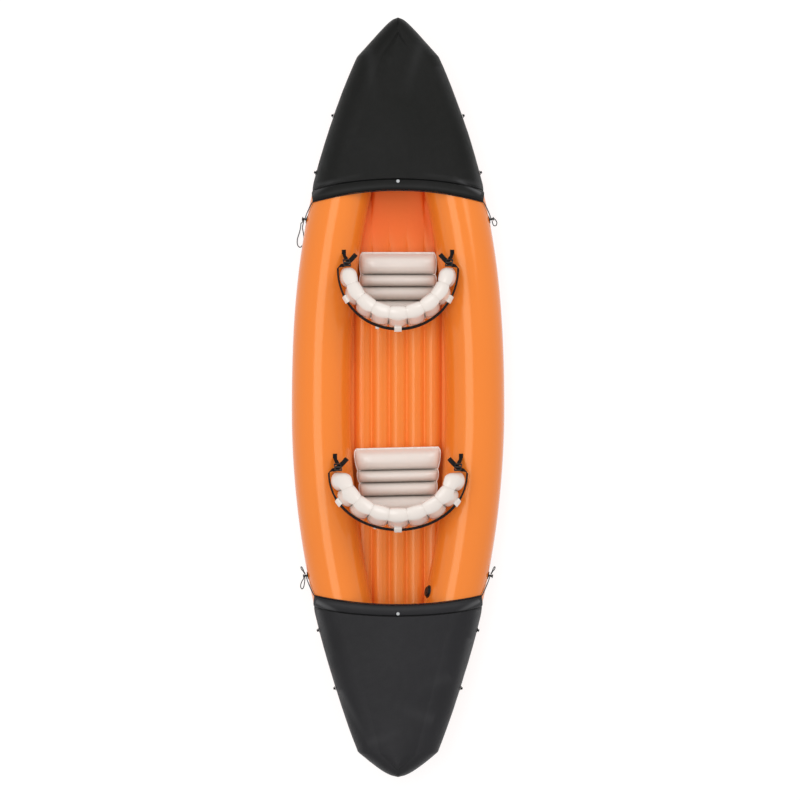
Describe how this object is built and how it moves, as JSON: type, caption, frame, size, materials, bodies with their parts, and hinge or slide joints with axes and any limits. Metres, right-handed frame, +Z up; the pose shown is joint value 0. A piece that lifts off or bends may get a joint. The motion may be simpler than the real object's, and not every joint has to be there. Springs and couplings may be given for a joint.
{
  "type": "inflatable canoe",
  "caption": "Inflatable touring canoe with side tubes, a channelled air floor, fabric covers over bow and stern, and blow-up seats with strapped horseshoe backrests.",
  "frame": {"origin": "on the ground amidships, under the middle of the hull, with the canoe lying upright on its tubes", "axes": "+Y to the bow, +X to starboard (the right-hand side facing the bow), +Z up"},
  "size_m": [0.9028, 3.2054, 0.47],
  "materials": {
    "hull_orange": "satin inflated PVC",
    "cover_black": "coated woven cloth, slight sheen",
    "seat_white": "satin inflated PVC, warm off-white",
    "webbing_black": "matt woven webbing",
    "cord_black": "matt braided cord",
    "plastic_black": "moulded, satin",
    "stud_grey": "moulded, satin grey"
  },
  "bodies": {
    "hull": {"air_floor": "hull_orange", "bow_cord_anchor_left": "plastic_black", "bow_cord_anchor_right": "plastic_black", "bow_cover": "cover_black", "bow_cover_button_left_1": "plastic_black", "bow_cover_button_left_2": "plastic_black", "bow_cover_button_right_1": "plastic_black", "bow_cover_button_right_2": "plastic_black", "bow_hem_stud": "stud_grey", "bow_long_loop": "cord_black", "bow_rim_cord": "cord_black", "bow_small_loop": "cord_black", "fin_base": "plastic_black", "floor_valve": "plastic_black", "front_strap_tab_left": "webbing_black", "front_strap_tab_right": "webbing_black", "hull_tube_left": "hull_orange", "hull_tube_right": "hull_orange", "left_tube_valve": "plastic_black", "rear_strap_tab_left": "webbing_black", "rear_strap_tab_right": "webbing_black", "right_tube_valve": "plastic_black", "stern_cord_anchor_left": "plastic_black", "stern_cord_anchor_right": "plastic_black", "stern_cover": "cover_black", "stern_cover_button_left_1": "plastic_black", "stern_cover_button_left_2": "plastic_black", "stern_cover_button_right_1": "plastic_black", "stern_cover_button_right_2": "plastic_black", "stern_drop_loop": "cord_black", "stern_folded_end_left": "cord_black", "stern_folded_end_right": "cord_black", "stern_hem_stud": "stud_grey", "stern_rim_cord": "cord_black"},
    "front_seat": {"front_seat_cushion": "seat_white"},
    "front_back": {"front_backrest": "seat_white", "front_back_strap": "webbing_black", "front_strap_keeper_left": "seat_white", "front_strap_keeper_middle": "seat_white", "front_strap_keeper_right": "seat_white", "front_strap_buckle_left": "plastic_black", "front_strap_buckle_right": "plastic_black", "front_seat_valve": "seat_white"},
    "front_stopper": {"front_seat_stopper": "seat_white"},
    "rear_seat": {"rear_seat_cushion": "seat_white"},
    "rear_back": {"rear_backrest": "seat_white", "rear_back_strap": "webbing_black", "rear_strap_keeper_left": "seat_white", "rear_strap_keeper_middle": "seat_white", "rear_strap_keeper_right": "seat_white", "rear_strap_buckle_left": "plastic_black", "rear_strap_buckle_right": "plastic_black", "rear_seat_valve": "seat_white"},
    "rear_stopper": {"rear_seat_stopper": "seat_white"},
    "floor_cap": {"floor_valve_cap": "plastic_black"},
    "left_tube_cap": {"left_tube_valve_cap": "plastic_black"},
    "right_tube_cap": {"right_tube_valve_cap": "plastic_black"}
  },
  "joints": [
    {"name": "front_seat_slide", "type": "slide", "parent": "hull", "child": "front_seat", "axis": [0, 1, 0], "range_m": [-0.05, 0]},
    {"name": "front_back_recline", "type": "hinge", "parent": "front_seat", "child": "front_back", "pos_m": [0, 0.286, 0.1778], "axis": [1, 0, 0], "range_deg": [0, 15]},
    {"name": "front_stopper_pull", "type": "slide", "parent": "front_back", "child": "front_stopper", "axis": [-0.3582, -0.9337, 0], "range_m": [0, 0.012]},
    {"name": "rear_seat_slide", "type": "slide", "parent": "hull", "child": "rear_seat", "axis": [0, 1, 0], "range_m": [-0.05, 0]},
    {"name": "rear_back_recline", "type": "hinge", "parent": "rear_seat", "child": "rear_back", "pos_m": [0, -0.5566, 0.1778], "axis": [1, 0, 0], "range_deg": [0, 15]},
    {"name": "rear_stopper_pull", "type": "slide", "parent": "rear_back", "child": "rear_stopper", "axis": [-0.287, -0.9579, 0], "range_m": [0, 0.012]},
    {"name": "right_tube_cap_unscrew", "type": "hinge", "parent": "hull", "child": "right_tube_cap", "pos_m": [0.12988, -0.824, 0.16729], "axis": [-0.9212, 0.1962, 0.3359], "range_deg": [0, 450]},
    {"name": "left_tube_cap_unscrew", "type": "hinge", "parent": "hull", "child": "left_tube_cap", "pos_m": [-0.09365, 1, 0.17391], "axis": [0.9083, -0.2448, 0.3392], "range_deg": [0, 450]},
    {"name": "floor_cap_unscrew", "type": "hinge", "parent": "hull", "child": "floor_cap", "pos_m": [0, -0.955, 0.09406], "axis": [0, 0, 1], "range_deg": [0, 450]}
  ]
}
